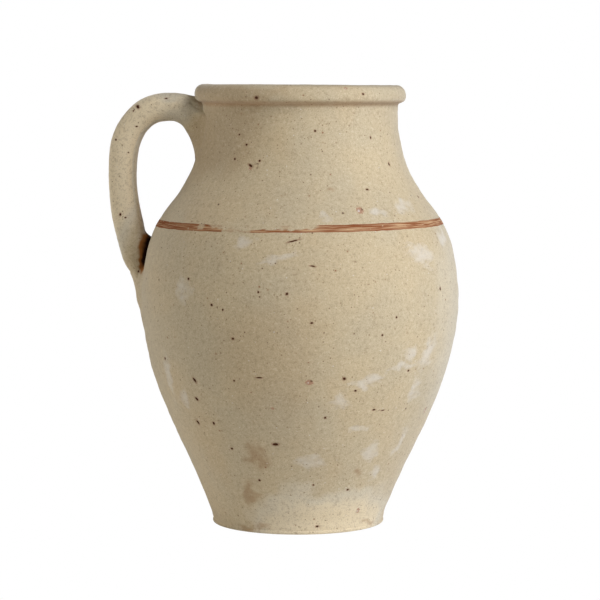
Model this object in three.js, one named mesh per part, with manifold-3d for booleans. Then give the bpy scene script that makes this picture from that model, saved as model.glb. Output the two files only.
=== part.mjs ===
// A one-handled amphora jug of unglazed stoneware, about 320 mm tall.
// It is modelled as the clay pieces a potter forms and lutes together: a floor slab, a thrown body
// wall, a neck collar, a rolled rim, a pulled handle with a luting wad at each root, and a brushed
// band of iron slip over the shoulder joint.
// Units are millimetres, +Z is up, the origin is on the jug's axis at the foot, the handle is at -X.
import * as THREE from "three";
import { mergeVertices } from "three/addons/utils/BufferGeometryUtils.js";
import Module from "manifold-3d";

// Driving dimensions
const HEIGHT = 320;
const WALL = 7.6; // thickness of the thrown wall, measured square to its surface
const FOOT_RADIUS = 62.9;
const FOOT_HEIGHT = 4; // the foot stands straight up for this height before the wall flares
const FOOT_CHAMFER = 1;
const FLOOR_TOP = 10;
const FLOOR_FILLET = 9; // inside corner between the floor and the wall
const SHOULDER_JOINT = 221; // height of the seam between the body wall and the neck collar
const ROLL_RADIUS = 7; // the rim is a coil rolled outwards
const ROLL_CENTRE_RADIUS = 70.3;
const NECK_TOP = 306.5;
const NECK_RADIUS = 71.2;
const BAND_WIDTH = 4.8;
const BAND_THICKNESS = 0.5;
const HANDLE_THICKNESS = 20.4; // in the handle's own plane
const HANDLE_WIDTH = 29; // across the handle's own plane
const JOINT_GAP = 0.3; // clearance between a luted piece and the surface it is pressed on

// The wads of clay at the handle's two roots, each an egg shape that leans by some degrees
const UPPER_WAD = { centre: [-71.5, 0, 288], halfSize: [8.5, 28, 26], lean: 0 };
const LOWER_WAD = { centre: [-111.5, 0, 172.5], halfSize: [9, 23, 41], lean: -4 };

// Fineness of the faceted solids
const TURN_SEGMENTS = 56;
const OUTLINE_STEP = 13; // height between the rings of a wall
const ROLL_STEPS = 11;
const HANDLE_STEPS = 26;
const HANDLE_SIDES = 14;

// The outside of the thrown wall, as radius and height, from the top of the foot to the rim
const wallOutline = new THREE.SplineCurve(
  [
    [FOOT_RADIUS, FOOT_HEIGHT],
    [64.9, 12],
    [76.7, 40],
    [92.9, 75],
    [106.6, 110],
    [113.5, 140],
    [115.7, 165],
    [113.5, 190],
    [108.5, 210],
    [100.2, 226],
    [88.4, 242],
    [77.5, 262],
    [72, 284],
    [70.9, 300],
    [NECK_RADIUS, NECK_TOP],
  ].map(([radius, height]) => new THREE.Vector2(radius, height)),
);

// The handle's centreline, as distance from the jug's axis and height, from the neck to the belly
const handleLine = new THREE.CatmullRomCurve3(
  [
    [68, 299],
    [84, 302.8],
    [98, 303.8],
    [111, 300.4],
    [122.5, 290],
    [129, 275],
    [130.8, 255],
    [129.4, 235],
    [126.3, 217.5],
    [121, 196],
    [112, 172],
  ].map(([out, height]) => new THREE.Vector3(-out, 0, height)),
);

const clay = { color: 0xc8ba9a, roughness: 0.85, metalness: 0 };
const ironSlip = { color: 0x9a5a41, roughness: 0.8, metalness: 0 };

// Turns a solid that three.js made about its Y axis so that it stands on Z, with no rounding
const standOnZ = new THREE.Matrix4().set(1, 0, 0, 0, 0, 0, -1, 0, 0, 1, 0, 0, 0, 0, 0, 1);

const wasm = await Module();
wasm.setup();

function toSolid(geometry) {
  const bare = geometry.clone();
  bare.deleteAttribute("normal");
  bare.deleteAttribute("uv");
  const merged = mergeVertices(bare, 1e-4);
  return new wasm.Manifold(
    new wasm.Mesh({
      numProp: 3,
      vertProperties: merged.attributes.position.array,
      triVerts: new Uint32Array(merged.index.array),
    }),
  );
}

// The largest separate body of a solid: a cut can leave loose slivers beside it
function toGeometry(solid) {
  const [largest] = solid.decompose().sort((a, b) => b.volume() - a.volume());
  const { vertProperties, triVerts } = largest.getMesh();
  const geometry = new THREE.BufferGeometry();
  geometry.setAttribute("position", new THREE.BufferAttribute(vertProperties, 3));
  geometry.setIndex(new THREE.BufferAttribute(triVerts, 1));
  geometry.computeVertexNormals();
  return geometry;
}

// A solid of revolution from a closed outline of [radius, height] pairs, outside going up
function revolve(outline) {
  const points = outline.map(([radius, height]) => new THREE.Vector2(radius, height));
  if (points[0].x > 0 || points.at(-1).x > 0) points.push(points[0].clone());
  return new THREE.LatheGeometry(points, TURN_SEGMENTS).applyMatrix4(standOnZ);
}

// The point of the wall's outside at a height, moved inwards along the surface normal by a depth
function wallPoint(height, depth) {
  let low = 0;
  let high = 1;
  for (let i = 0; i < 40; i++) {
    const middle = (low + high) / 2;
    if (wallOutline.getPoint(middle).y < height) low = middle;
    else high = middle;
  }
  const point = wallOutline.getPoint(low);
  const along = wallOutline.getTangent(low);
  return [point.x - depth * along.y, point.y + depth * along.x];
}

// Heights from bottom to top in even steps
function heights(bottom, top) {
  const steps = Math.ceil((top - bottom) / OUTLINE_STEP);
  return Array.from({ length: steps + 1 }, (_, i) => bottom + ((top - bottom) * i) / steps);
}

const outside = (bottom, top) => heights(bottom, top).map((z) => [wallPoint(z, 0)[0], z]);

// The inside radius at a height, found from the inwards offset of the outside
function insideRadius(height) {
  let source = height;
  for (let i = 0; i < 30; i++) source += height - wallPoint(source, WALL)[1];
  return wallPoint(source, WALL)[0];
}
const inside = (bottom, top) => heights(bottom, top).map((z) => [insideRadius(z), z]).reverse();

// Points on a circular arc in an outline, from one angle to another in radians
function arc(centreRadius, centreHeight, radius, from, to, steps) {
  return Array.from({ length: steps + 1 }, (_, i) => {
    const angle = from + ((to - from) * i) / steps;
    return [centreRadius + radius * Math.cos(angle), centreHeight + radius * Math.sin(angle)];
  });
}

// The solid pad of clay the jug stands on, with the straight foot around its edge
function floorSlab() {
  return revolve([
    [0, 0],
    [FOOT_RADIUS - FOOT_CHAMFER, 0],
    [FOOT_RADIUS, FOOT_CHAMFER],
    [FOOT_RADIUS, FOOT_HEIGHT],
    [wallPoint(FLOOR_TOP, 0)[0], FLOOR_TOP],
    [0, FLOOR_TOP],
  ]);
}

// The thrown wall, from the floor over the belly to the seam on the shoulder
function bodyWall() {
  const filletTop = FLOOR_TOP + FLOOR_FILLET;
  const filletCentre = insideRadius(filletTop) - FLOOR_FILLET;
  const quarter = Math.PI / 2;
  const fillet = arc(filletCentre, filletTop, FLOOR_FILLET, 0, -quarter, 4).slice(1, -1);
  return revolve([
    ...outside(FLOOR_TOP, SHOULDER_JOINT),
    ...inside(filletTop, SHOULDER_JOINT),
    ...fillet,
    [filletCentre, FLOOR_TOP],
  ]);
}

// The neck, luted on the shoulder
function neckCollar() {
  return revolve([...outside(SHOULDER_JOINT, NECK_TOP), ...inside(SHOULDER_JOINT, NECK_TOP)]);
}

// The rolled rim: round outside and on top, straight inside, undercut where it meets the neck
function rolledRim(gap) {
  const radius = ROLL_RADIUS + gap;
  const rollCentre = HEIGHT - ROLL_RADIUS;
  const undercut = Math.asin((NECK_TOP - rollCentre) / radius);
  return revolve([
    ...arc(ROLL_CENTRE_RADIUS, rollCentre, radius, undercut, Math.PI, ROLL_STEPS),
    [ROLL_CENTRE_RADIUS - radius, NECK_TOP],
  ]);
}

// The whole jug without its handle, filled in and grown by a gap, to cut the luted pieces with
function filledJug(gap) {
  const body = outside(FOOT_HEIGHT, SHOULDER_JOINT);
  const neck = outside(SHOULDER_JOINT, NECK_TOP).slice(1);
  const grown = [...body, ...neck].map(([radius, height]) => [radius + gap, height]);
  const filledWall = revolve([[0, 0], [FOOT_RADIUS + gap, 0], ...grown, [0, NECK_TOP]]);
  return toSolid(filledWall).add(toSolid(rolledRim(gap)));
}

// The pulled handle: an oval bar along its centreline, grown by a gap on every side
function handleBar(gap) {
  const oval = new THREE.Shape();
  oval.absellipse(0, 0, HANDLE_WIDTH / 2 + gap, HANDLE_THICKNESS / 2 + gap, 0, 2 * Math.PI);
  const section = new THREE.Shape(oval.getSpacedPoints(HANDLE_SIDES).slice(0, -1));
  return toSolid(
    new THREE.ExtrudeGeometry(section, { steps: HANDLE_STEPS, extrudePath: handleLine }),
  );
}

// A wad of clay worked in round a root of the handle, before it is cut back by what it is pressed on
function lutingWad({ centre, halfSize, lean }) {
  const egg = new THREE.SphereGeometry(1, 24, 16);
  egg.scale(...halfSize);
  egg.rotateY(THREE.MathUtils.degToRad(lean));
  egg.translate(...centre);
  return toSolid(egg);
}

// The slip band, a thin ring over the shoulder joint
function slipBand() {
  const levels = [-0.5, 0, 0.5].map((share) => SHOULDER_JOINT + share * BAND_WIDTH);
  const ring = (lift) => levels.map((z) => wallPoint(z, -lift));
  return revolve([...ring(JOINT_GAP + BAND_THICKNESS), ...ring(JOINT_GAP).reverse()]);
}

function piece(name, geometry, finish) {
  const mesh = new THREE.Mesh(geometry, new THREE.MeshStandardMaterial(finish));
  mesh.name = name;
  return mesh;
}

const vessel = new THREE.Group();
vessel.add(
  piece("floor_slab", floorSlab(), clay),
  piece("body_wall", bodyWall(), clay),
  piece("neck_collar", neckCollar(), clay),
  piece("rolled_rim", rolledRim(0), clay),
  piece("slip_band", slipBand(), ironSlip),
);

const jug = filledJug(JOINT_GAP);
const jugAndBar = jug.add(handleBar(JOINT_GAP));

const lutedOn = new THREE.Group();
lutedOn.add(
  piece("handle", toGeometry(handleBar(0).subtract(jug)), clay),
  piece("handle_upper_luting", toGeometry(lutingWad(UPPER_WAD).subtract(jugAndBar)), clay),
  piece("handle_lower_luting", toGeometry(lutingWad(LOWER_WAD).subtract(jugAndBar)), clay),
);

const amphora = new THREE.Group();
amphora.add(vessel, lutedOn);

export default amphora;
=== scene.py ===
"""The looks of a one-handled stoneware jug of amphora shape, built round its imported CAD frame.

Shapes are worked out in millimetres and scaled to metres when a mesh is made. The jug's axis is Z, its
foot stands at height 0 and its handle is at -X. A bearing is an angle round the axis in degrees:
0 faces the front, -Y, and 90 faces +X.
"""
import math

import bpy
import numpy as np
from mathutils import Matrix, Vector


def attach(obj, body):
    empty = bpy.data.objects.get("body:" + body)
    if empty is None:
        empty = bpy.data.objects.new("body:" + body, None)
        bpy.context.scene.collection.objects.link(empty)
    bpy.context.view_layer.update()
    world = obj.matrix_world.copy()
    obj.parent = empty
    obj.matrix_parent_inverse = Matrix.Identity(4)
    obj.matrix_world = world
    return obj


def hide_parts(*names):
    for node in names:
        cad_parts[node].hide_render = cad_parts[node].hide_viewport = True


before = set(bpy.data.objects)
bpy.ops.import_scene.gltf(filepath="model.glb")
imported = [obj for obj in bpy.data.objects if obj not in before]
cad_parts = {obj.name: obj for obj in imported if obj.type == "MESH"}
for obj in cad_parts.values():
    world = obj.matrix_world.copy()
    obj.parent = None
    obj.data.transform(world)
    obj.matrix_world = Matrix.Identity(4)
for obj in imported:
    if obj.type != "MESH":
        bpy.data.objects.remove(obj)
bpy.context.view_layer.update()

MM = 0.001
SEGMENTS = 420  # facets round each turned piece
OUTSIDE_STEP = 1.5  # mesh spacing on the outside of the wall
INSIDE_STEP = 3.0

# ---------------------------------------------------------------- dimensions, in millimetres

WALL = 7.6
FOOT_SEAM = 2.8  # the groove between the foot's lower bead and the wall
SHOULDER_SEAM = 221.0
NECK_SEAM = 302.0
FLOOR_TOP = 10.0
FLOOR_FILLET = 9.0
BORE = 63.3  # radius inside the neck

# Outside of the thrown wall, [radius, height]
WALL_KNOTS = [
    [62.2, FOOT_SEAM], [62.9, 5], [64.9, 12], [76.7, 40], [92.9, 75], [106.6, 110], [113.5, 140],
    [115.7, 165], [113.5, 190], [108.5, 210], [100.2, 226], [88.4, 242], [77.5, 262], [72, 284],
    [70.9, 298], [71.1, NECK_SEAM],
]
FOOT_KNOTS = [[60.9, 0], [62.3, 0.35], [62.7, 1.3], [62.55, 2.2], [62.2, FOOT_SEAM]]
RIM_KNOTS = [
    [71.1, NECK_SEAM], [71.1, 305], [71.9, 306.7], [73.8, 307.5], [75.5, 308.6], [76.5, 310.3],
    [76.8, 312.6], [76.4, 315], [75.3, 317.4], [73.2, 319.3], [70.4, 320], [67.1, 319.1],
    [64.6, 316.9], [63.5, 314], [BORE, 310], [BORE, NECK_SEAM],
]

# Centreline of the handle, [distance from the axis, height], from the neck to the belly
HANDLE_KNOTS = [
    [68, 299], [84, 302.8], [98, 303.8], [111, 300.4], [122.5, 290], [129, 275], [130.8, 255],
    [129.4, 235], [126.3, 217.5], [121, 196], [112, 172],
]
HANDLE_HALF_THICKNESS = 10.2
HANDLE_HALF_WIDTH = 14.5
HANDLE_KEEL = 8.0  # how far the inner face swells towards the wall at the lower root

BAND_HEIGHT = SHOULDER_SEAM
BAND_WIDTH = 4.8
BAND_SLOPE = 0.0074  # the line climbs a little away from the handle
BAND_LIFT = 0.14  # how proud the slip stands


def catmull_rom(knots, count):
    """A smooth line through the knots, as count points evenly spaced along it."""
    knots = np.array(knots, float)
    padded = np.vstack([knots[0], knots, knots[-1]])
    place = np.linspace(0, len(knots) - 1 - 1e-9, 40 * len(knots))
    i = place.astype(int)
    w = (place - i)[:, None]
    before, start, end, after = padded[i], padded[i + 1], padded[i + 2], padded[i + 3]
    leave, arrive = (end - before) / 2, (after - start) / 2
    line = (
        (2 * start - 2 * end + leave + arrive) * w**3
        + (3 * end - 3 * start - 2 * leave - arrive) * w**2
        + leave * w
        + start
    )
    return resample(np.vstack([line, knots[-1]]), count)


def resample(line, count):
    """The same line as count points evenly spaced along its length."""
    length = np.r_[0, np.cumsum(np.linalg.norm(np.diff(line, axis=0), axis=1))]
    at = np.linspace(0, length[-1], count)
    return np.column_stack([np.interp(at, length, axis) for axis in line.T])


def smoothstep(low, high, value):
    """0 at low and 1 at high, with an even start and end; low may be the greater of the two."""
    t = np.clip((value - low) / (high - low), 0, 1)
    return t * t * (3 - 2 * t)


# ---------------------------------------------------------------- marks in the clay

# A mark is its bearing, its height, how wide and how tall it is and, for some, its tilt in degrees

# Burnt-out iron pits
PITS = [
    (-17.5, 311, 2.8, 2.4), (41.5, 314, 2.2, 1.6), (-21, 263.6, 4, 1.7, 28), (77.5, 240, 1.8, 1.8),
    (39.5, 247, 2.2, 1.3), (14.5, 288, 1.5, 1.4), (-30.5, 285, 1.4, 1.2), (-25, 278, 1.5, 1.4),
    (-31.5, 268, 1.6, 1.6), (-16, 267, 1.5, 1.5), (50, 283, 1.4, 2), (62, 264, 2, 2.6),
    (-37, 185, 1.7, 1.7), (-26, 168, 1.8, 1.7), (-21.5, 165, 1.2, 1.6), (1.5, 177, 2, 1.8),
    (-8.5, 178, 1.3, 1.7), (10, 157, 2, 1.3), (-18, 145, 2, 1.7), (-54, 126, 2, 1.8),
    (-37.5, 113, 2.0, 4.0, -35), (-39, 99, 3.4, 1.9, 35), (-43, 81, 2.0, 3.6, -35), (-33, 82, 1.8, 2.2),
    (-4.5, 69, 4.4, 2.2), (-26.5, 64, 1.8, 1.6), (16.5, 89, 1.7, 1.7), (22.5, 117, 2.4, 2),
    (27.5, 108, 1.8, 1.4), (37.5, 93, 2.6, 1.3), (65.5, 176, 1.6, 2.4), (41.5, 159, 1.4, 1.4),
    (-15, 41, 1.7, 1.8), (14, 38, 1.4, 1.4), (34.5, 33, 1.8, 1.5), (18.5, 6, 2.4, 1.4),
    (36, 147, 1.4, 1.4), (-19, 115, 1.3, 1.3), (50, 120, 1.8, 1.6),
]
# Pits on the front side of the handle, with their distance from the axis in place of a bearing
HANDLE_PITS = [
    (117.4, 304, 3.3, 2.2, 40), (120.5, 301, 1.2, 1.2, 0), (96.5, 310, 2.2, 1, 0),
    (118, 289.7, 1.5, 1, 0), (133.5, 280, 1.4, 1.4, 0), (124.4, 270.8, 1, 1, 0),
    (130.3, 225.6, 1.6, 2.1, 20), (126.5, 223.4, 1.4, 1.1, 0), (117.3, 184, 1.2, 1.5, 0),
]
# Long drag marks left by grit
DRAGS = [(3.5, 213, 7.4, 1, -14), (10.5, 196, 3.8, 1, 10), (-9, 118, 4.4, 0.9, 0), (42, 92, 3, 0.8, -4)]
# Pink spalls with a pale grain at their heart
SPALLS = [
    (-21, 261.6, 2.4, 2.6, 0), (32, 233, 5.6, 5.4, 20), (-4.5, 96, 2.6, 2.2, 0),
    (9.5, 115, 5.4, 3.6, 0), (46, 16, 3, 4, 0), (73.5, 87, 3, 5, 0), (31.5, 318, 3.6, 1.6, 0),
]
# Chalky lime bloom
BLOOM = [
    (57, 235, 25, 8, -14), (40, 230, 13, 8, 0), (17, 228, 11, 5, 0), (-15, 211, 15, 9, -30),
    (-2, 202, 26, 6, -6), (57, 201, 30, 12, 12), (77, 213, 10, 16, 0), (60, 131, 16, 24, 30),
    (49, 134, 13, 9, -20), (47, 123, 30, 5, -10), (31, 115, 30, 6, -3), (22, 102, 12, 15, 20),
    (33, 80, 15, 5, -8), (41, 62, 12, 17, -20), (61, 66, 9, 26, 0), (48, 45, 9, 9, 0),
    (57, 106, 9, 20, 0), (-54, 110, 8, 42, 0), (-39, 177, 12, 17, 0), (11, 57, 18, 11, 0),
    (-47, 97, 9, 17, 0), (128, 150, 30, 12, 20), (160, 90, 18, 30, -10), (205, 205, 28, 9, 5),
    (230, 120, 16, 26, 30), (185, 245, 14, 8, 0), (100, 60, 18, 14, -20), (-120, 70, 16, 22, 15),
]
# Brown and rusty stains
STAINS = [
    (-14, 58, 21, 23, 0), (-20, 30, 11, 27, 8), (-26, 3, 26, 5, 0), (61, 2, 14, 4, 0),
    (37.5, 45, 11, 4, 0), (20, 248, 4.6, 3.2, 0), (150, 40, 30, 24, 0), (215, 70, 18, 30, 0),
]
# Where the painted line has worn away
WORN_SLIP = [
    (-19.5, 221, 22, 12), (-9.5, 223.6, 77, 6.4), (-36, 221, 6, 3.4), (165, 221, 50, 12),
    (235, 219, 36, 4), (120, 223.2, 24, 4),
]
# Scorched clay and painted shade in the crevices at the handle's roots
CREVICES = [(-90, 308, 22, 4.6, 0), (-90, 197, 60, 38, 0), (-80, 265, 3, 9, 0)]
CREVICE_REACH = 11.0  # how far out from the wall the scorch and painted shade go where they are widest
REACH_BY_HEIGHT = ([180, 205, 290, 305], [0.35, 1, 1, 0.5])  # heights, and shares of that reach
UNDERCUT = 306.8  # height of the line of painted shade under the rim roll
UNDER_RIM_SHADE = 0.22  # strength of that painted shade, where 1 would be as black as soot
# Broad areas of tone, most from the firing, with a strength in place of a tilt: paler above 0 and
# browner below
# Some are painted light and shade: the paler band round the foot stands for light thrown up by the
# floor, the paler patch at the handle's upper root lightens its shade, and the browner neck's left side
# is partly painted shadow of the rim and handle
TONES_AND_PAINTED_LIGHT = [
    (86, 150, 110, 210, 0.62), (25, 4, 180, 62, 1.5), (50, 6, 110, 46, 0.3),
    (200, 150, 120, 120, 0.4), (150, 10, 120, 40, 0.6), (-55, 290, 130, 84, -1),
    (-20, 310, 70, 18, -0.7), (75, 298, 90, 50, -0.3), (150, 270, 80, 60, -0.6),
    (-5, 128, 90, 110, -0.5), (-90, 303, 54, 34, 2.0),
]
HANDLE_PAINTED_LIGHT = 2.0  # tone of painted light that makes the handle paler than the body
HANDLE_INSIDE_SHADE = -1.9  # painted shade added on its inner face, which faces the wall
HANDLE_PIT_DEPTH = 16
DEEP = 60  # depth of a mark that takes in the handle's roots as well as the wall
FAR = 9.0  # offset, in half-sizes, of a point with no mark near it


def scattered(count, seed, sizes):
    """Marks strewn over the back of the jug, about as thickly as those on its front."""
    rng = np.random.default_rng(seed)
    marks = []
    for _ in range(count):
        width = rng.uniform(*sizes)
        place = [rng.uniform(92, 262), rng.uniform(12, 306)]
        marks.append((*place, width, width * rng.uniform(0.6, 1.2), rng.uniform(-40, 40)))
    return marks


PITS += scattered(34, 61, (1.3, 3.2))
SPALLS += scattered(5, 62, (3, 5))


def around(bearing, radius, height):
    """The point at that bearing, radius and height."""
    angle, radius, height = np.broadcast_arrays(np.radians(bearing), radius, height)
    return np.stack([radius * np.sin(angle), -radius * np.cos(angle), height], -1)


wall_line = catmull_rom(WALL_KNOTS, 1200)
rim_line = catmull_rom(RIM_KNOTS, 300)
rim_outer = rim_line[: np.argmax(rim_line[:, 1])]


def wall_radius(height):
    """Radius of the outside of the jug at a height, rim included."""
    wall = np.interp(height, wall_line[:, 1], wall_line[:, 0])
    rim = np.interp(height, rim_outer[:, 1], rim_outer[:, 0])
    return np.where(np.asarray(height) > NECK_SEAM, rim, wall)


def on_wall(bearing, height):
    """The point on the outside of the jug at that bearing and height."""
    return around(np.asarray(bearing, float), wall_radius(height), height)


def distance_from_wall(points):
    """How far points lie outside the wall: below 0 within it and inside the jug."""
    return np.hypot(points[:, 0], points[:, 1]) - wall_radius(points[:, 2])


# ---------------------------------------------------------------- relief of the clay, in millimetres

WAVE_COUNT = 14  # plain waves that are added up to make one random swelling


def waves(points, wavelength, seed):
    """Smooth random swelling from about -1 to 1, with no pattern that repeats in sight."""
    rng = np.random.default_rng(seed)
    directions = rng.normal(size=(WAVE_COUNT, 3))
    directions /= np.linalg.norm(directions, axis=1)[:, None]
    lengths = wavelength * rng.uniform(0.7, 1.5, WAVE_COUNT)
    phases = rng.uniform(0, 2 * math.pi, WAVE_COUNT)
    turns = points @ (directions / lengths[:, None]).T * 2 * math.pi
    return np.cos(turns + phases).sum(-1) / math.sqrt(WAVE_COUNT / 2) / 1.6


def throwing_rings(points, spacing, seed):
    """The spiral ridges that the potter's fingers leave as the wheel turns."""
    bearing = np.arctan2(points[..., 0], -points[..., 1])
    rise = points[..., 2] - spacing * bearing / (2 * math.pi)
    drift = 1.1 * waves(points * [0.3, 0.3, 1], 90, seed)
    return np.cos(2 * math.pi * rise / spacing + drift)


def outside_relief(points):
    """How far the outside of the thrown wall stands out from its smooth outline."""
    strength = 0.6 + 0.4 * waves(points, 110, 4)
    relief = 0.17 * strength * throwing_rings(points, 17, 1)
    relief += 0.05 * throwing_rings(points, 6.5, 2) * waves(points, 45, 5)
    relief += 0.22 * waves(points, 70, 6) + 0.06 * waves(points, 18, 7) + 0.03 * waves(points, 6, 8)
    for bearing, height, width, tall, *_ in PITS:
        reach = 0.8 * max(width, tall)
        if reach > 1.5:  # smaller pits are left to the material
            away = np.linalg.norm(points - on_wall(bearing, height), axis=-1) / reach
            relief -= 0.4 * np.clip(1 - away**2, 0, 1) ** 2
    return relief


def inside_relief(points):
    """The deeper finger ridges that are left on the inside."""
    relief = 0.45 * throwing_rings(points, 11, 11) + 0.2 * throwing_rings(points, 4.5, 12)
    return relief + 0.3 * waves(points, 40, 13)


def lean(points):
    """The fired jug has slumped a little: its foot is off the axis and its rim is not quite level."""
    x, y, z = points[..., 0], points[..., 1], points[..., 2]
    foot_shift = -1.4 * (1 - smoothstep(0, 150, z))
    rim_tilt = -0.005 * x * smoothstep(255, 305, z)
    return np.stack([x + foot_shift, y, z + rim_tilt], -1)


# ---------------------------------------------------------------- marks painted on the points of a mesh


def mark_offsets(points, bearing, height, wide, tall, tilt=0.0, depth=None, middle=None):
    """Where points lie from a mark's middle, in its half-sizes along, up and out of the wall."""
    angle, turn_by = math.radians(bearing), math.radians(tilt)
    away = points - (lean(on_wall(bearing, height)) if middle is None else middle)
    along = away @ np.array([math.cos(angle), math.sin(angle), 0])
    out = away @ np.array([math.sin(angle), -math.cos(angle), 0])
    up = away[:, 2]
    turned = along * math.cos(turn_by) - up * math.sin(turn_by)
    risen = along * math.sin(turn_by) + up * math.cos(turn_by)
    deep = depth or max(wide, tall)
    return np.column_stack([2 * turned / wide, 2 * risen / tall, 2 * out / deep])


def handle_pit_offsets(points, away_from_axis, height, wide, tall, tilt):
    """As mark_offsets, for a mark on the side of the handle."""
    middle = np.array([-away_from_axis, -HANDLE_HALF_WIDTH, height])
    return mark_offsets(points, 0, height, wide, tall, tilt, HANDLE_PIT_DEPTH, middle)


def nearest_mark(points, marks, handle_marks=()):
    """For each point the offset from its nearest mark: it is exact near a mark, whatever the mesh."""
    nearest = np.full((len(points), 3), FAR)
    least = np.linalg.norm(nearest, axis=1)
    offsets = [mark_offsets(points, *mark) for mark in marks]
    offsets += [handle_pit_offsets(points, *mark) for mark in handle_marks]
    for offset in offsets:
        distance = np.linalg.norm(offset, axis=1)
        closer = distance < least
        nearest[closer], least[closer] = offset[closer], distance[closer]
    return nearest


def patches(points, marks, ragged, seed, depth=14, outer=1.25, inner=0.5):
    """Cover from 0 outside the marks to 1 well within them, with a soft and wandering edge."""
    drift = np.column_stack([waves(points, 2.5 * ragged, seed + k) for k in range(3)])
    drift += 0.5 * np.column_stack([waves(points, ragged, seed + 5 + k) for k in range(3)])
    moved = points + 0.35 * ragged * drift
    cover = np.zeros(len(points))
    for mark in marks:
        away = np.linalg.norm(mark_offsets(moved, *mark, depth=depth), axis=1)
        cover = np.maximum(cover, smoothstep(outer, inner, away))
    return cover


def worn_cover(points):
    """1 where the painted line has worn away, with fairly sharp, squarish ends."""
    moved = points + 0.5 * waves(points, 4, 76)[:, None]
    cover = np.zeros(len(points))
    for mark in WORN_SLIP:
        away = (np.abs(mark_offsets(moved, *mark, depth=DEEP)) ** 6).sum(1) ** (1 / 6)
        cover = np.maximum(cover, smoothstep(1.06, 0.94, away))
    return cover


def paint(mesh, name, values):
    """Stores a number, or a set of three, for each point of a mesh, for its material to read."""
    values = np.asarray(values, np.float32)
    if values.ndim == 1:
        mesh.attributes.new(name, "FLOAT", "POINT").data.foreach_set("value", values)
    else:
        mesh.attributes.new(name, "FLOAT_VECTOR", "POINT").data.foreach_set("vector", values.ravel())


def tone_with_painted_light(points):
    """Broad tone of the clay, part of it painted light and shade: 1 where it is paler, 2 where painted
    light makes it palest, -1 where it is browner.
    """
    tone = np.zeros(len(points))
    for number, (*area, strength) in enumerate(TONES_AND_PAINTED_LIGHT):
        tone += strength * patches(points, [area], 14, 80 + 9 * number, depth=DEEP)
    return tone + HANDLE_PAINTED_LIGHT * smoothstep(9, 34, distance_from_wall(points))


def paint_marks(mesh, points):
    """The marks that every clay piece can carry, and the soot and painted shade near the handle and
    under the rim.
    """
    paint(mesh, "pit", nearest_mark(points, PITS + DRAGS, HANDLE_PITS))
    paint(mesh, "spall", nearest_mark(points, SPALLS))
    paint(mesh, "bloom", patches(points, BLOOM, 7, 71, outer=1.9, inner=0.2))
    paint(mesh, "stain", patches(points, STAINS, 8, 72))
    from_wall = distance_from_wall(points)
    reach = CREVICE_REACH * np.interp(points[:, 2], *REACH_BY_HEIGHT)
    closeness = smoothstep(reach, 0, from_wall + 0.8 * waves(points, 5, 75))
    # The soot and painted shade are kept off the inside of the jug, and off the wall where the handle
    # doesn't cover it
    beneath_handle = smoothstep(20, 14, np.abs(points[:, 1]))
    closeness *= smoothstep(-3, -1, from_wall)
    closeness *= np.maximum(beneath_handle, smoothstep(0.6, 1.6, from_wall))
    crevice = closeness * patches(points, CREVICES, 2, 73, depth=DEEP)
    near_wall = smoothstep(4, 2, np.abs(from_wall))
    # A line of painted shade under the rim roll
    line = smoothstep(4.4, 0.5, np.abs(points[:, 2] - UNDERCUT)) * near_wall
    paint(mesh, "crevice", np.maximum(crevice, UNDER_RIM_SHADE * line))


# ---------------------------------------------------------------- making meshes


def make_piece(name, points, faces, node, material, tone=0.0):
    """A smooth mesh, from points in millimetres, that stands for one CAD node."""
    mesh = bpy.data.meshes.new(name)
    mesh.from_pydata((points * MM).tolist(), [], faces)
    paint_marks(mesh, points)
    paint(mesh, "tone", tone_with_painted_light(points) + tone)
    mesh.polygons.foreach_set("use_smooth", [True] * len(mesh.polygons))
    mesh.update()
    mesh.set_sharp_from_angle(angle=math.radians(50))
    mesh.materials.append(material)
    piece = bpy.data.objects.new(name, mesh)
    bpy.context.scene.collection.objects.link(piece)
    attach(piece, "root")
    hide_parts(node)
    return piece


def grid_faces(rows, columns, close_rows=False):
    """Quads over rings of points stored one after another."""
    next_row = (np.arange(rows) + 1) % rows
    next_column = (np.arange(columns) + 1) % columns
    r = np.arange(rows if close_rows else rows - 1)
    r, c = np.meshgrid(r, np.arange(columns), indexing="ij")
    corners = [
        r * columns + c,
        r * columns + next_column[c],
        next_row[r] * columns + next_column[c],
        next_row[r] * columns + c,
    ]
    return np.stack(corners, -1).reshape(-1, 4).tolist()


def tube_faces(rows, columns):
    """Quads round a tube whose points are stored ring by ring, with a flat face over each end."""
    last = (rows - 1) * columns
    ends = [list(range(columns))[::-1], list(range(last, last + columns))]
    return grid_faces(rows, columns) + ends


def turn(outline, relief):
    """Rings of points from an outline, each pushed out square to the outline by the relief there."""
    outline = np.asarray(outline, float)
    along = np.gradient(outline, axis=0)
    along /= np.linalg.norm(along, axis=1)[:, None] + 1e-9
    bearings = np.arange(SEGMENTS) * 360 / SEGMENTS
    radius, height = outline[:, :1], outline[:, 1:]
    base = around(bearings[None, :], radius, height)
    out = around(bearings[None, :], along[:, 1:], 0) + [0, 0, 1] * -along[:, :1, None]
    return base + out * relief(base)[..., None]


def outline_between(line, low, high, step):
    """The stretch of a rising outline between two heights, evenly stepped."""
    inner = line[(line[:, 1] > low) & (line[:, 1] < high)]
    ends = [[np.interp(z, line[:, 1], line[:, 0]), z] for z in (low, high)]
    stretch = np.vstack([ends[0], inner, ends[1]])
    length = np.linalg.norm(np.diff(stretch, axis=0), axis=1).sum()
    return resample(stretch, max(3, int(length / step)))


def offset_inwards(line, depth):
    """A rising outline moved towards the axis, square to itself."""
    along = np.gradient(line, axis=0)
    along /= np.linalg.norm(along, axis=1)[:, None]
    return line + depth * np.column_stack([-along[:, 1], along[:, 0]])


inner_line = offset_inwards(wall_line, WALL)


def turned_shell(outside, inside):
    """A closed ring of clay from its outside outline going up and its inside outline coming down."""
    outer = lean(turn(outside, outside_relief))
    inner = lean(turn(inside, inside_relief))
    points = np.concatenate([outer, inner]).reshape(-1, 3)
    return points, grid_faces(len(outside) + len(inside), SEGMENTS, close_rows=True)


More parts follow.
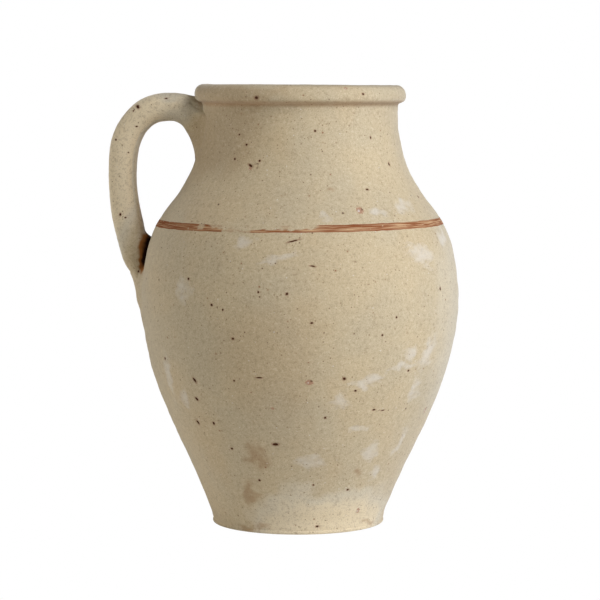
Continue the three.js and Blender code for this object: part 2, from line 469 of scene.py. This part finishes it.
def build_body_wall(material):
    """The thrown wall from the foot's bead to the shoulder, with a round corner at the floor inside."""
    outside = outline_between(wall_line, FOOT_SEAM, SHOULDER_SEAM, OUTSIDE_STEP)
    fillet_top = FLOOR_TOP + FLOOR_FILLET
    inside = outline_between(inner_line, fillet_top, SHOULDER_SEAM, INSIDE_STEP)[::-1]
    centre = inside[-1, 0] - FLOOR_FILLET
    angles = np.linspace(0, -math.pi / 2, 9)[1:]
    fillet = np.column_stack(
        [centre + FLOOR_FILLET * np.cos(angles), fillet_top + FLOOR_FILLET * np.sin(angles)]
    )
    points, faces = turned_shell(outside, np.vstack([inside, fillet]))
    return make_piece("thrown_body", points, faces, "body_wall", material)


def build_neck(material):
    outside = outline_between(wall_line, SHOULDER_SEAM, NECK_SEAM, OUTSIDE_STEP)
    inside = outline_between(inner_line, SHOULDER_SEAM, NECK_SEAM, INSIDE_STEP)[::-1]
    points, faces = turned_shell(outside, inside)
    return make_piece("neck", points, faces, "neck_collar", material)


def build_rim(material):
    outline = catmull_rom(RIM_KNOTS, 60)

    def rim_relief(points):
        """The relief of the outside, dying away over the lip."""
        return outside_relief(points) * smoothstep(BORE, 68, np.hypot(points[..., 0], points[..., 1]))

    points = lean(turn(outline, rim_relief)).reshape(-1, 3)
    faces = grid_faces(len(outline), SEGMENTS, close_rows=True)
    return make_piece("rim_roll", points, faces, "rolled_rim", material)


def build_floor(material):
    """The pad the jug stands on: wire-cut underneath, with a throwing spiral inside."""
    beneath = np.linspace([0.2, 0.25], FOOT_KNOTS[0], 44)
    edge = catmull_rom(FOOT_KNOTS, 8)[1:]
    above = np.linspace([57, FLOOR_TOP], [0.2, FLOOR_TOP], 44)

    def under_relief(points):
        x, y = points[..., 0], points[..., 1]
        cut = 0.5 + 0.5 * np.cos(0.55 * (x + 0.012 * y * y) + 0.8 * waves(points, 60, 21))
        return -0.25 * cut * smoothstep(62, 56, np.hypot(x, y))

    def foot_relief(points):
        return outside_relief(points) * smoothstep(0.4, 2, points[..., 2])

    def above_relief(points):
        x, y = points[..., 0], points[..., 1]
        spiral = np.cos(2 * math.pi * np.hypot(x, y) / 9 - np.arctan2(x, -y))
        return 0.4 * spiral * smoothstep(2, 12, np.hypot(x, y)) * smoothstep(57, 50, np.hypot(x, y))

    rings = [turn(beneath, under_relief), turn(edge, foot_relief), turn(above, above_relief)]
    points = lean(np.concatenate(rings)).reshape(-1, 3)
    faces = tube_faces(len(points) // SEGMENTS, SEGMENTS)
    return make_piece("foot_pad", points, faces, "floor_slab", material)


def build_slip_band(material):
    """A skin of slip that follows the wall and thins out to nothing at both edges."""
    half = 0.75 * BAND_WIDTH
    offsets = np.linspace(-half, half, 21)[:, None]
    bearings = np.arange(SEGMENTS)[None, :] * 360 / SEGMENTS
    middle = BAND_HEIGHT + BAND_SLOPE * wall_radius(BAND_HEIGHT) * np.sin(np.radians(bearings))
    wall = on_wall(bearings, middle + offsets)
    slope = math.atan2(wall_radius(BAND_HEIGHT - half) - wall_radius(BAND_HEIGHT + half), 2 * half)
    out = around(bearings, math.cos(slope), math.sin(slope))
    lift = BAND_LIFT * (1 - smoothstep(0.55, 1, np.abs(offsets) / half)) + 0.01
    relief = outside_relief(wall)
    outer = lean(wall + out * (relief + lift * (1 + 0.25 * waves(wall, 5, 31)))[..., None])
    inner = lean(wall + out * (relief - 0.05)[..., None])[::-1]
    points = np.concatenate([outer, inner]).reshape(-1, 3)
    faces = grid_faces(2 * len(offsets), SEGMENTS, close_rows=True)
    piece = make_piece("slip_line", points, faces, "slip_band", material)
    paint(piece.data, "worn", worn_cover(points))
    return piece


# ---------------------------------------------------------------- the handle and its luting

handle_line = catmull_rom(HANDLE_KNOTS, 240)
handle_along = np.gradient(handle_line, axis=0)
handle_along /= np.linalg.norm(handle_along, axis=1)[:, None]
SECTION_POINTS = 84
SQUARENESS = 0.86  # of the bar's section: 1 is an ellipse

# The upper root: where it starts on the bar, and the oval that it covers on the neck
ROOT_START = 93  # distance from the axis
ROOT_HEIGHT = 296
ROOT_HALF_WIDTH = 35
ROOT_ABOVE = 7.5
ROOT_BELOW = 33
ROOT_NECK_RADIUS = 71.5
ROOT_POINTS = 120
ROOT_RINGS = 34
ROOT_HEART = (-80, 0, 297)  # the point that its lumps stand away from

# The lower root: the tail of clay that is pressed on the belly
TAIL_LOW = 122
TAIL_HIGH = 200
TAIL_BELLY_RADIUS = 114


def handle_section(index, angle):
    """A point on the handle's skin. Angle 0 is the +Y side and a quarter turn is the outer face."""
    share = index / (len(handle_line) - 1)
    taper = 1 - 0.45 * smoothstep(0.86, 1, share)
    root = 1 - smoothstep(0, 0.1, share)
    half_thick = HANDLE_HALF_THICKNESS * taper
    half_wide = (HANDLE_HALF_WIDTH + 2.5 * root) * (1 - 0.1 * smoothstep(0.8, 1, share))
    across = half_wide * np.sign(np.cos(angle)) * np.abs(np.cos(angle)) ** SQUARENESS
    height = handle_line[index][..., 1]
    keel = HANDLE_KEEL * smoothstep(211.5, 198, height) * smoothstep(160, 185, height)
    depth = half_thick + np.where(np.sin(angle) < 0, keel, 0)
    out = depth * np.sign(np.sin(angle)) * np.abs(np.sin(angle)) ** SQUARENESS
    centre, along = handle_line[index], handle_along[index]
    outward = np.stack([-along[..., 1], along[..., 0]], -1)
    flat = centre + out[..., None] * outward
    return np.stack([-flat[..., 0], across, flat[..., 1]], -1)


def pulled_relief(points, facing):
    """Long shallow strokes down the handle, and a few soft dents from fingers."""
    relief = 0.25 * waves(points * [1, 1, 0.35], 16, 41) + 0.3 * waves(points, 38, 42)
    return relief + 0.05 * waves(points, 5, 43) - 0.25 * np.exp(-((facing - 0.2) / 0.16) ** 2)


def build_handle(material):
    angles = np.arange(SECTION_POINTS) * 2 * math.pi / SECTION_POINTS
    index, angle = np.meshgrid(np.arange(len(handle_line)), angles, indexing="ij")
    skin = handle_section(index, angle)
    centre = skin.mean(1, keepdims=True)
    out = skin - centre
    out /= np.linalg.norm(out, axis=-1)[..., None]
    points = (skin + out * pulled_relief(skin, np.cos(angle))[..., None]).reshape(-1, 3)
    # The section runs the other way round than a turned ring, so its faces are turned over
    faces = [face[::-1] for face in tube_faces(len(handle_line), SECTION_POINTS)]
    # The inner face is browner with painted shade
    inner_face = smoothstep(-0.75, -1, np.sin(angle)).ravel()
    tone = HANDLE_INSIDE_SHADE * inner_face
    return make_piece("handle_bar", points, faces, "handle", material, tone)


def build_upper_luting(material):
    """Clay worked from the bar out over the neck: tight under the rim, long down the neck."""
    start = int(np.argmax(handle_line[:, 0] > ROOT_START))
    angles = np.arange(ROOT_POINTS) * 2 * math.pi / ROOT_POINTS
    bar = handle_section(np.full(angles.shape, start), angles)
    bar += 0.004 * (bar - bar.mean(0))  # so that it just covers the bar
    along = handle_along[start]
    towards_neck = np.array([along[0], 0, -along[1]])

    upward = np.sin(angles)
    across = ROOT_HALF_WIDTH * np.cos(angles)
    climb = np.where(upward > 0, ROOT_ABOVE, ROOT_BELOW) * upward
    bearing = -90 - np.degrees(across / ROOT_NECK_RADIUS)
    neck = on_wall(bearing, ROOT_HEIGHT + climb) - 0.5 * around(bearing, 1, 0)
    sideways = around(bearing - 90, 1, 0)
    spread = sideways * across[:, None] + np.array([0, 0, 1]) * climb[:, None]
    spread /= np.linalg.norm(spread, axis=1)[:, None]

    distance = np.linalg.norm(neck - bar, axis=1)
    reach = np.interp(upward, [-1, 0, 1], [0.24, 0.34, 0.62]) * distance
    grip = np.interp(upward, [-1, 0, 0.6, 1], [0.44, 0.55, 0.40, 0.10]) * distance
    pull = bar + towards_neck * reach[:, None]
    press = neck - spread * grip[:, None]
    share = np.linspace(0, 1, ROOT_RINGS)[:, None, None]
    skin = (
        (1 - share) ** 3 * bar
        + 3 * share * (1 - share) ** 2 * pull
        + 3 * share**2 * (1 - share) * press
        + share**3 * neck
    )
    outwards = skin - np.array(ROOT_HEART)
    outwards /= np.linalg.norm(outwards, axis=-1)[..., None]
    edge = np.sin(math.pi * share[..., 0]) ** 0.7
    skin = skin + outwards * (0.35 * edge * waves(skin, 13, 51))[..., None]
    faces = tube_faces(len(share), len(angles))
    return make_piece(
        "upper_root", skin.reshape(-1, 3), faces, "handle_upper_luting", material
    )


def build_lower_luting(material):
    """The tail of clay that is thumbed down the belly from the end of the bar."""
    heights = np.linspace(TAIL_LOW, TAIL_HIGH, 96)[:, None]
    side = np.linspace(-1, 1, 61)[None, :]
    above_root = smoothstep(180, 198, heights)
    half_wide = 4 + 16 * smoothstep(TAIL_LOW, 176, heights) - 9 * above_root
    across = side * half_wide
    thick = 11.2 * np.exp(-np.clip(182 - heights, 0, None) / 24) - 1.5 * above_root
    thick = thick * smoothstep(TAIL_LOW, 142, heights)
    dome = (0.5 + 0.5 * np.cos(math.pi * side)) ** (0.8 - 0.3 * above_root)
    bearing = -90 + np.degrees(across / TAIL_BELLY_RADIUS)
    base = on_wall(bearing, heights)
    thumbed = 0.5 * waves(base, 14, 61) * dome * smoothstep(TAIL_LOW, 150, heights)
    lift = thick * dome + thumbed - 0.25
    above = base + around(bearing, 1, 0) * lift[..., None]
    beneath = base[:, ::-1] - 3 * around(bearing[:, ::-1], 1, 0)
    rings = np.concatenate([above, beneath], axis=1)
    faces = tube_faces(len(heights), rings.shape[1])
    return make_piece(
        "lower_root", rings.reshape(-1, 3), faces, "handle_lower_luting", material
    )


# ---------------------------------------------------------------- materials

BUMP_STRENGTH = 0.75
BUMP_HEIGHT = 0.6  # millimetres
SPECULAR = 0.4
DULL_SPECULAR = 0.08
SHEEN = 0.25
SHEEN_ROUGHNESS = 0.5


class Nodes:
    """Short ways to add shader nodes to one material."""

    def __init__(self, name):
        self.material = bpy.data.materials.new(name)
        self.material.use_nodes = True
        self.tree = self.material.node_tree
        self.tree.nodes.clear()
        self.place = self.add("ShaderNodeTexCoord").outputs["Object"]

    def add(self, kind, settings=None, **inputs):
        node = self.tree.nodes.new(kind)
        for key, value in (settings or {}).items():
            setattr(node, key, value)
        for key, value in inputs.items():
            self.feed(node, key.replace("_", " "), value)
        return node

    def feed(self, node, socket, value):
        target = node.inputs[int(socket) if socket.isdigit() else socket]
        if isinstance(value, bpy.types.NodeSocket):
            self.tree.links.new(value, target)
        else:
            target.default_value = value

    def math(self, operation, a, b=0.0):
        node = self.add("ShaderNodeMath", {"operation": operation})
        self.feed(node, "0", a)
        self.feed(node, "1", b)
        return node.outputs[0]

    def ramp(self, value, low, high, start=0.0, end=1.0):
        """Value from low to high, smoothly turned into start to end."""
        node = self.add(
            "ShaderNodeMapRange",
            {"interpolation_type": "SMOOTHSTEP"},
            Value=value, From_Min=low, From_Max=high, To_Min=start, To_Max=end,
        )
        return node.outputs[0]

    def noise(self, size, detail, stretch=(1, 1, 1), roughness=0.5):
        """Noise with features of about that size in millimetres."""
        mapping = self.add("ShaderNodeMapping", Vector=self.place, Scale=stretch)
        node = self.add(
            "ShaderNodeTexNoise",
            Vector=mapping.outputs[0], Scale=1 / (size * MM), Detail=detail, Roughness=roughness,
        )
        return node

    def grains(self, spacing, seed):
        """Scattered points: distance to the nearest in millimetres, and a random colour of its own."""
        shifted = self.add("ShaderNodeVectorMath", {"operation": "ADD"})
        self.feed(shifted, "0", self.place)
        self.feed(shifted, "1", (seed, 0.37 * seed, 0.71 * seed))
        node = self.add("ShaderNodeTexVoronoi", Vector=shifted.outputs[0], Scale=1 / (spacing * MM))
        distance = self.math("MULTIPLY", node.outputs["Distance"], spacing)
        random = self.add("ShaderNodeSeparateColor", Color=node.outputs["Color"])
        return distance, random

    def mix(self, factor, a, b):
        node = self.add("ShaderNodeMix", {"data_type": "RGBA"})
        self.feed(node, "0", factor)
        self.feed(node, "6", a)
        self.feed(node, "7", b)
        return node.outputs[2]

    def painted(self, name, output="Fac"):
        return self.add("ShaderNodeAttribute", {"attribute_name": name}).outputs[output]

    def mark_edge(self, name, wobble, shift=0.0):
        """Distance from the nearest painted mark as a share of its half-size, with a roughened edge."""
        noise = self.noise(1.3, 2).outputs["Color"]
        centred = self.add("ShaderNodeVectorMath", {"operation": "MULTIPLY_ADD"}, **{"0": noise})
        centred.inputs[1].default_value = (wobble,) * 3
        centred.inputs[2].default_value = (shift - wobble / 2, shift - wobble / 2, -wobble / 2)
        moved = self.add("ShaderNodeVectorMath", {"operation": "ADD"}, **{"0": centred.outputs[0]})
        self.feed(moved, "1", self.painted(name, "Vector"))
        length = self.add("ShaderNodeVectorMath", {"operation": "LENGTH"}, **{"0": moved.outputs[0]})
        return length.outputs["Value"]


# Linear colours
BUFF = (0.570, 0.463, 0.295, 1)
BUFF_WARM = (0.555, 0.430, 0.258, 1)
BUFF_GREY = (0.530, 0.445, 0.300, 1)
SAND_DARK = (0.290, 0.205, 0.115, 1)
SAND_PALE = (0.750, 0.660, 0.480, 1)
PALE_CLAY = (0.655, 0.600, 0.480, 1)
# The palest clay colour is painted light, on the handle and the foot
PAINTED_LIGHT_CLAY = (0.760, 0.640, 0.440, 1)
BROWN_CLAY = (0.420, 0.295, 0.160, 1)
BROWN_SPECK = (0.110, 0.052, 0.020, 1)
IRON = (0.050, 0.014, 0.005, 1)
RUST = (0.270, 0.110, 0.050, 1)
SPALL_PINK = (0.400, 0.185, 0.110, 1)
LIME = (0.740, 0.715, 0.675, 1)
STAIN = (0.330, 0.190, 0.085, 1)
# The scorch and soot colours also carry painted shade in the crevices and under the rim
SCORCH_AND_SHADE = (0.280, 0.100, 0.014, 1)
SOOT_AND_SHADE = (0.018, 0.004, 0.001, 1)
SLIP_PALE = (0.565, 0.360, 0.200, 1)
SLIP_DARK = (0.240, 0.068, 0.022, 1)

# Scattered specks: spacing, seed, share kept, least and greatest radius in millimetres, colour
SPECKS = [
    (2.4, 0.7, 0.26, 0.20, 0.42, BROWN_SPECK), (4.2, 1.3, 0.30, 0.22, 0.52, IRON),
    (11.0, 4.1, 0.32, 0.35, 0.85, IRON), (6.5, 7.7, 0.34, 0.30, 0.70, RUST),
]


def clay_colour(n):
    """The sandy body with its marks: colour, height, cover of lime bloom, and where it is dull."""
    broad = n.noise(55, 3).outputs["Fac"]
    colour = n.mix(n.ramp(broad, 0.35, 0.65), BUFF, BUFF_GREY)
    warm = n.noise(38, 2, (1, 1, 0.6)).outputs["Fac"]
    colour = n.mix(n.ramp(warm, 0.5, 0.75, 0, 0.55), colour, BUFF_WARM)

    # The tone is partly the clay's own and partly painted light and shade: paler on the foot, the
    # handle and its upper root, browner on the handle's inner face and the neck's shaded left side
    tone = n.painted("tone")
    colour = n.mix(n.ramp(tone, 0, 1, 0, 0.7), colour, PALE_CLAY)
    colour = n.mix(n.ramp(tone, 1, 2, 0, 0.9), colour, PAINTED_LIGHT_CLAY)
    colour = n.mix(n.ramp(tone, 0, -1, 0, 0.5), colour, BROWN_CLAY)

    mottle = n.noise(2.6, 3).outputs["Fac"]
    colour = n.mix(n.ramp(mottle, 0.30, 0.48, 0.30, 0), colour, SAND_DARK)
    colour = n.mix(n.ramp(mottle, 0.55, 0.75, 0, 0.32), colour, SAND_PALE)
    sand = n.noise(0.85, 2, roughness=0.7).outputs["Fac"]
    colour = n.mix(n.ramp(sand, 0.34, 0.46, 0.44, 0), colour, SAND_DARK)
    colour = n.mix(n.ramp(sand, 0.56, 0.70, 0, 0.42), colour, SAND_PALE)

    stain_noise = n.noise(9, 4).outputs["Fac"]
    stain = n.math("MULTIPLY", n.painted("stain"), n.ramp(stain_noise, 0.22, 0.58))
    colour = n.mix(n.math("MULTIPLY", stain, 0.58), colour, STAIN)

    bloom_noise = n.noise(6, 6, (0.7, 0.7, 1.3), roughness=0.7).outputs["Fac"]
    cloud = n.math("MULTIPLY", n.math("SUBTRACT", bloom_noise, 0.5), 2.0)
    bloom = n.ramp(n.math("ADD", n.painted("bloom"), cloud), 0.2, 1.2)
    bloom = n.math("MULTIPLY", bloom, n.ramp(n.painted("bloom"), 0, 0.3))
    colour = n.mix(n.math("MULTIPLY", bloom, 0.46), colour, LIME)

    height = n.math("MULTIPLY", sand, 0.10)
    height = n.math("ADD", height, n.math("MULTIPLY", mottle, 0.16))

    for spacing, seed, keep, small, large, shade in SPECKS:
        distance, random = n.grains(spacing, seed)
        radius = n.ramp(random.outputs[1], 0, 1, small, large)
        edge = n.math("DIVIDE", distance, radius)
        kept = n.math("LESS_THAN", random.outputs[0], keep)
        core = n.math("MULTIPLY", n.ramp(edge, 1.0, 0.6), kept)
        halo = n.math("MULTIPLY", n.ramp(edge, 2.2, 0.9), kept)
        colour = n.mix(n.math("MULTIPLY", halo, 0.30), colour, STAIN)
        colour = n.mix(n.math("MULTIPLY", core, 0.9), colour, shade)
        height = n.math("SUBTRACT", height, n.math("MULTIPLY", core, 0.12))

    distance, random = n.grains(4.5, 2.9)
    kept = n.math("LESS_THAN", random.outputs[0], 0.22)
    white = n.math("MULTIPLY", n.ramp(distance, 0.5, 0.25), kept)
    colour = n.mix(n.math("MULTIPLY", white, 0.8), colour, LIME)

    spall = n.mark_edge("spall", 1.3)
    colour = n.mix(n.ramp(spall, 1.2, 0.8, 0, 0.75), colour, SPALL_PINK)
    colour = n.mix(n.ramp(n.mark_edge("spall", 1.0, 0.3), 0.45, 0.25, 0, 0.6), colour, LIME)
    colour = n.mix(n.ramp(n.mark_edge("spall", 1.2, -0.55), 0.42, 0.3, 0, 0.8), colour, BROWN_SPECK)
    pit = n.mark_edge("pit", 0.8)
    colour = n.mix(n.ramp(pit, 2.0, 0.9, 0, 0.6), colour, RUST)
    dark = n.ramp(pit, 1.1, 0.7)
    colour = n.mix(n.math("MULTIPLY", dark, 0.96), colour, IRON)

    # Scorch and soot in the crevices, with painted shade where the creases and the rim's underside fall
    # into shadow
    crevice = n.painted("crevice")
    colour = n.mix(n.ramp(crevice, 0.05, 0.45, 0, 0.95), colour, SCORCH_AND_SHADE)
    colour = n.mix(n.ramp(crevice, 0.45, 0.95), colour, SOOT_AND_SHADE)
    height = n.math("SUBTRACT", height, n.math("MULTIPLY", dark, 0.3))
    dull = n.math("MAXIMUM", dark, n.ramp(crevice, 0.05, 0.5))
    return colour, height, bloom, dull


def finish_clay(n, colour, height, roughness, dull):
    """The shader, which loses its sheen where it is dull: in pits, under soot and painted shade, and
    under slip.
    """
    bump = n.add("ShaderNodeBump", Height=height)
    bump.inputs["Strength"].default_value = BUMP_STRENGTH
    bump.inputs["Distance"].default_value = BUMP_HEIGHT * MM
    shader = n.add("ShaderNodeBsdfPrincipled", Base_Color=colour, Roughness=roughness)
    n.feed(shader, "Normal", bump.outputs[0])
    n.feed(shader, "Specular IOR Level", n.ramp(dull, 0, 1, SPECULAR, DULL_SPECULAR))
    n.feed(shader, "Sheen Weight", n.ramp(dull, 0, 1, SHEEN, 0))
    shader.inputs["Sheen Roughness"].default_value = SHEEN_ROUGHNESS
    output = n.add("ShaderNodeOutputMaterial")
    n.tree.links.new(shader.outputs[0], output.inputs["Surface"])
    return n.material


def stoneware():
    """The bare fired clay."""
    n = Nodes("stoneware")
    colour, height, bloom, dull = clay_colour(n)
    roughness = n.ramp(bloom, 0, 1, 0.78, 0.95)
    return finish_clay(n, colour, height, roughness, dull)


def iron_slip():
    """The same clay under a thin brushed wash, which is streaky and worn away in places."""
    n = Nodes("iron_slip")
    clay, height, bloom, dull = clay_colour(n)
    split = n.add("ShaderNodeSeparateXYZ", Vector=n.place)
    strands = n.noise(0.5, 2, (0.02, 0.02, 1), roughness=0.6).outputs["Fac"]
    flecks = n.noise(1.8, 3, (0.5, 0.5, 1)).outputs["Fac"]
    ragged = n.noise(5, 3, (0.5, 0.5, 1)).outputs["Fac"]

    climb = n.math("MULTIPLY", split.outputs["X"], BAND_SLOPE)
    above = n.math("DIVIDE", n.math("SUBTRACT", split.outputs["Z"], climb), MM)
    wander = n.math("MULTIPLY", n.math("SUBTRACT", ragged, 0.5), 1.2)
    away = n.math("ABSOLUTE", n.math("ADD", n.math("SUBTRACT", above, BAND_HEIGHT), wander))
    within = n.ramp(away, BAND_WIDTH / 2 + 0.2, BAND_WIDTH / 2 - 0.15)

    worn = n.painted("worn")
    bare = n.math("MAXIMUM", worn, n.ramp(flecks, 0.66, 0.74))
    ghost = n.math("MULTIPLY", n.ramp(ragged, 0.50, 0.62), 0.32)
    cover = n.math("MAXIMUM", n.math("SUBTRACT", 1.0, bare), ghost)
    slip = n.math("MULTIPLY", within, cover)
    red = n.mix(n.ramp(strands, 0.44, 0.58), SLIP_DARK, SLIP_PALE)
    rim = n.ramp(away, BAND_WIDTH / 2 - 1.1, BAND_WIDTH / 2 - 0.4, 0, 0.7)
    red = n.mix(rim, red, SLIP_DARK)
    # Painted shade: the wash is darker towards the handle, on the shaded side of the jug
    thick = n.ramp(split.outputs["X"], -35 * MM, -75 * MM, 0, 0.75)
    red = n.mix(n.math("MULTIPLY", thick, n.ramp(strands, 0.40, 0.60, 1, 0.4)), red, SLIP_DARK)
    colour = n.mix(n.math("MULTIPLY", slip, 0.95), clay, red)
    roughness = n.ramp(bloom, 0, 1, 0.72, 0.9)
    return finish_clay(n, colour, height, roughness, n.math("MAXIMUM", dull, slip))


# ---------------------------------------------------------------- stage, light and camera

FLOOR_RADIUS = 40  # metres
FLOOR_GLOW = 0.08
AMBIENT = 0.055
LIGHT_DISTANCE = 1.7  # metres
LIGHT_TARGET = (0, 0, 0.17)
# Soft boxes: name, bearing, elevation, width, height, watts, colour
SOFT_BOXES = [
    ("key", 53, 35, 1.1, 1.0, 26.2, (1.00, 1.00, 1.02)),
    ("right", 94, 2, 1.1, 1.0, 5.4, (0.85, 1.00, 1.22)),
    ("left_edge", -105, 2, 1.3, 1.0, 10.6, (1.04, 1.00, 0.97)),
    ("left_fill", -74, 24, 0.8, 1.0, 3.8, (1.08, 1.00, 0.80)),
    ("back", 166, 2, 0.8, 1.0, 5.0, (1.00, 1.00, 1.00)),
]


def build_floor_stage():
    """A pale floor that the camera sees as clean white, while it throws only a little light back up."""
    mesh = bpy.data.meshes.new("studio_floor")
    angles = np.linspace(0, 2 * math.pi, 65)[:-1]
    ring = [(FLOOR_RADIUS * math.cos(a), FLOOR_RADIUS * math.sin(a), 0) for a in angles]
    mesh.from_pydata(ring, [], [list(range(len(ring)))])
    floor = bpy.data.objects.new("studio_floor", mesh)
    bpy.context.scene.collection.objects.link(floor)
    n = Nodes("studio_floor")
    paper = n.add("ShaderNodeBsdfPrincipled")
    paper.inputs["Base Color"].default_value = (0.85, 0.84, 0.82, 1)
    paper.inputs["Roughness"].default_value = 0.9
    paper.inputs["Emission Color"].default_value = (1, 0.97, 0.86, 1)
    paper.inputs["Emission Strength"].default_value = FLOOR_GLOW
    white = n.add("ShaderNodeEmission")
    white.inputs["Strength"].default_value = 1.0
    rays = n.add("ShaderNodeLightPath")
    either = n.add("ShaderNodeMixShader", **{"0": rays.outputs["Is Camera Ray"]})
    n.tree.links.new(paper.outputs[0], either.inputs[1])
    n.tree.links.new(white.outputs[0], either.inputs[2])
    output = n.add("ShaderNodeOutputMaterial")
    n.tree.links.new(either.outputs[0], output.inputs["Surface"])
    mesh.materials.append(n.material)


def soft_box(name, bearing, elevation, width, height, watts, colour):
    """An area light that faces the middle of the jug."""
    light = bpy.data.lights.new(name, "AREA")
    light.shape = "RECTANGLE"
    light.size = width
    light.size_y = height
    light.energy = watts
    light.color = colour
    lamp = bpy.data.objects.new(name, light)
    bpy.context.scene.collection.objects.link(lamp)
    b, e = math.radians(bearing), math.radians(elevation)
    back = Vector((math.sin(b) * math.cos(e), -math.cos(b) * math.cos(e), math.sin(e)))
    lamp.location = Vector(LIGHT_TARGET) + back * LIGHT_DISTANCE
    lamp.rotation_mode = "QUATERNION"
    lamp.rotation_quaternion = back.to_track_quat("Z", "Y")


def build_world():
    """White behind the jug, and a faint light from all round."""
    world = bpy.data.worlds.new("studio")
    bpy.context.scene.world = world
    world.use_nodes = True
    tree = world.node_tree
    tree.nodes.clear()
    ambient = tree.nodes.new("ShaderNodeBackground")
    ambient.inputs["Color"].default_value = (1, 1, 1, 1)
    ambient.inputs["Strength"].default_value = AMBIENT
    white = tree.nodes.new("ShaderNodeBackground")
    white.inputs["Color"].default_value = (1, 1, 1, 1)
    white.inputs["Strength"].default_value = 1.0
    rays = tree.nodes.new("ShaderNodeLightPath")
    either = tree.nodes.new("ShaderNodeMixShader")
    output = tree.nodes.new("ShaderNodeOutputWorld")
    tree.links.new(rays.outputs["Is Camera Ray"], either.inputs[0])
    tree.links.new(ambient.outputs[0], either.inputs[1])
    tree.links.new(white.outputs[0], either.inputs[2])
    tree.links.new(either.outputs[0], output.inputs["Surface"])


CAMERA_DISTANCE = 1.896  # metres from the jug's axis
CAMERA_HEIGHT = 0.3278
CAMERA_BEARING = 6
CAMERA_TILT = 4.97  # degrees down


def build_camera():
    """A long lens just above the rim's height, a little right of straight on, looking slightly down."""
    data = bpy.data.cameras.new("camera")
    data.sensor_width = 36
    data.lens = 156
    camera = bpy.data.objects.new("camera", data)
    bpy.context.scene.collection.objects.link(camera)
    bearing = math.radians(CAMERA_BEARING)
    across, back = CAMERA_DISTANCE * math.sin(bearing), CAMERA_DISTANCE * math.cos(bearing)
    camera.location = (across, -back, CAMERA_HEIGHT)
    camera.rotation_euler = (math.radians(90 - CAMERA_TILT), 0, bearing)
    bpy.context.scene.camera = camera


clay = stoneware()
build_floor(clay)
build_body_wall(clay)
build_neck(clay)
build_rim(clay)
build_slip_band(iron_slip())
build_handle(clay)
build_upper_luting(clay)
build_lower_luting(clay)
build_floor_stage()
for box in SOFT_BOXES:
    soft_box(*box)
build_world()
build_camera()
bpy.context.scene.view_settings.view_transform = "Standard"
